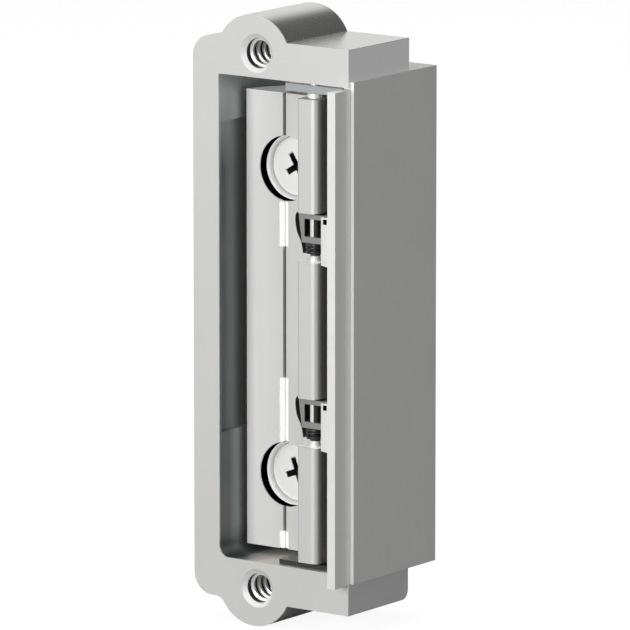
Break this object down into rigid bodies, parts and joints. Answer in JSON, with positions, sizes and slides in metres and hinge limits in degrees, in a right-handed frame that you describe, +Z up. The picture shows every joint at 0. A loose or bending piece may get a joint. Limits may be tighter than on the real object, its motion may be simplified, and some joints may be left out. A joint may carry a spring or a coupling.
{
  "type": "electric door strike",
  "caption": "Narrow electric door strike with a swinging keeper behind an open latch pocket, a screw ear at each end and a covered lock magnet.",
  "frame": {"origin": "centre of the bounding box", "axes": "+X to the right seen from the front, +Y back into the door frame, +Z up along the height"},
  "size_m": [0.0316, 0.027, 0.1004],
  "materials": {
    "cast_zinc": "satin plated die casting",
    "sheet_steel": "satin sheet",
    "bracket_steel": "satin, bright cut edges",
    "keeper_steel": "satin machined",
    "screw_steel": "bright plated",
    "spring_steel": "drawn wire",
    "soft_iron": "zinc plated iron",
    "copper_wire": "enamelled winding wire",
    "bobbin_plastic": "natural moulded nylon",
    "black_plastic": "moulded",
    "green_plastic": "moulded",
    "red_plastic": "moulded"
  },
  "bodies": {
    "strike_case": {"case_body": "cast_zinc", "side_cover": "sheet_steel", "hinge_bracket": "bracket_steel", "hinge_pin": "screw_steel", "hinge_washer": "screw_steel", "bracket_screw_upper": "screw_steel", "bracket_screw_lower": "screw_steel", "cover_screw_top_left": "screw_steel", "cover_screw_top_right": "screw_steel", "cover_screw_bottom_left": "screw_steel", "cover_screw_bottom_right": "screw_steel", "yoke_screw_left": "screw_steel", "yoke_screw_right": "screw_steel", "armature_pin": "screw_steel", "lever_pin": "screw_steel", "switch_screw_left": "screw_steel", "switch_screw_right": "screw_steel", "terminal_screw_left": "screw_steel", "terminal_screw_right": "screw_steel", "terminal_clamp_left": "screw_steel", "terminal_clamp_right": "screw_steel", "keeper_spring_upper": "spring_steel", "keeper_spring_lower": "spring_steel", "armature_spring": "spring_steel", "lever_spring": "spring_steel", "magnet_yoke": "soft_iron", "core_left": "soft_iron", "core_right": "soft_iron", "winding_left": "copper_wire", "winding_right": "copper_wire", "bobbin_left": "bobbin_plastic", "bobbin_right": "bobbin_plastic", "switch_body": "black_plastic", "lead_right": "black_plastic", "terminal_block": "green_plastic", "lead_left": "red_plastic"},
    "keeper": {"keeper_body": "keeper_steel", "keeper_plate": "keeper_steel", "keeper_screw_upper": "screw_steel", "keeper_screw_lower": "screw_steel"},
    "armature_body": {"armature": "soft_iron"},
    "lever_body": {"lock_lever": "bracket_steel"},
    "button_body": {"switch_button": "red_plastic"}
  },
  "joints": [
    {"name": "keeper_swing", "type": "hinge", "parent": "strike_case", "child": "keeper", "pos_m": [0.007, -0.00765, 0], "axis": [0, 0, 1], "range_deg": [0, 75], "deforming": ["keeper_spring_upper", "keeper_spring_lower"]},
    {"name": "armature_turn", "type": "hinge", "parent": "strike_case", "child": "armature_body", "pos_m": [0, 0.00475, 0.0104], "axis": [-1, 0, 0], "range_deg": [0, 7.5], "deforming": ["armature_spring"]},
    {"name": "lock_lever_turn", "type": "hinge", "parent": "strike_case", "child": "lever_body", "pos_m": [0, 0.00775, 0.0196], "axis": [1, 0, 0], "range_deg": [0, 10.5], "deforming": ["lever_spring"]},
    {"name": "switch_button_slide", "type": "slide", "parent": "strike_case", "child": "button_body", "axis": [0, -1, 0], "range_m": [0, 0.001]}
  ],
  "couplings": [
    {"joint": "lock_lever_turn", "follows": "armature_turn", "ratio": 1.4},
    {"joint": "switch_button_slide", "follows": "keeper_swing", "m_per_rad": 0.00075}
  ]
}
